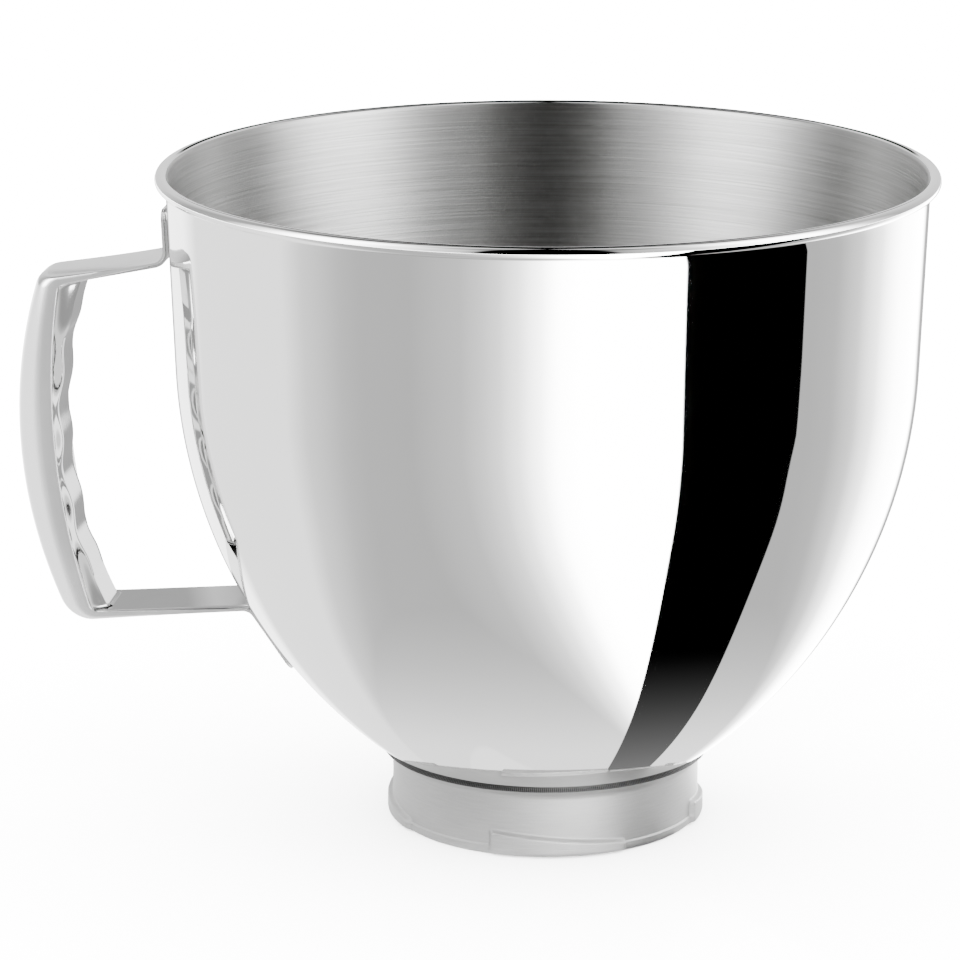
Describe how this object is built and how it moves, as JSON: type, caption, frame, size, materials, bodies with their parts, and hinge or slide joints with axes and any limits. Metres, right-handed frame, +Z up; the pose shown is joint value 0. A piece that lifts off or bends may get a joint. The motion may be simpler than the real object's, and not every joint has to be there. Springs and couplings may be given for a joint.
{
  "type": "stand mixer bowl",
  "caption": "Deep round steel mixing bowl with a curled rim, a hollow strap handle and a pressed foot ring whose sloping bayonet ramps lock it onto a stand mixer.",
  "frame": {"origin": "centre of the foot's lower face, on the bowl's axis and on the plane it stands on", "axes": "+Z up through the bowl's mouth along its axis; the handle points along -X; +Y completes the right-handed frame"},
  "size_m": [0.269, 0.226, 0.194],
  "materials": {
    "bowl_steel": "mirror polish outside, circular brushing inside",
    "foot_steel": "satin",
    "handle_steel": "polished"
  },
  "bodies": {
    "root": {"bowl_shell": "bowl_steel", "base_ring": "foot_steel", "handle_outer_shell": "handle_steel", "handle_inner_shell": "handle_steel"}
  },
  "joints": []
}
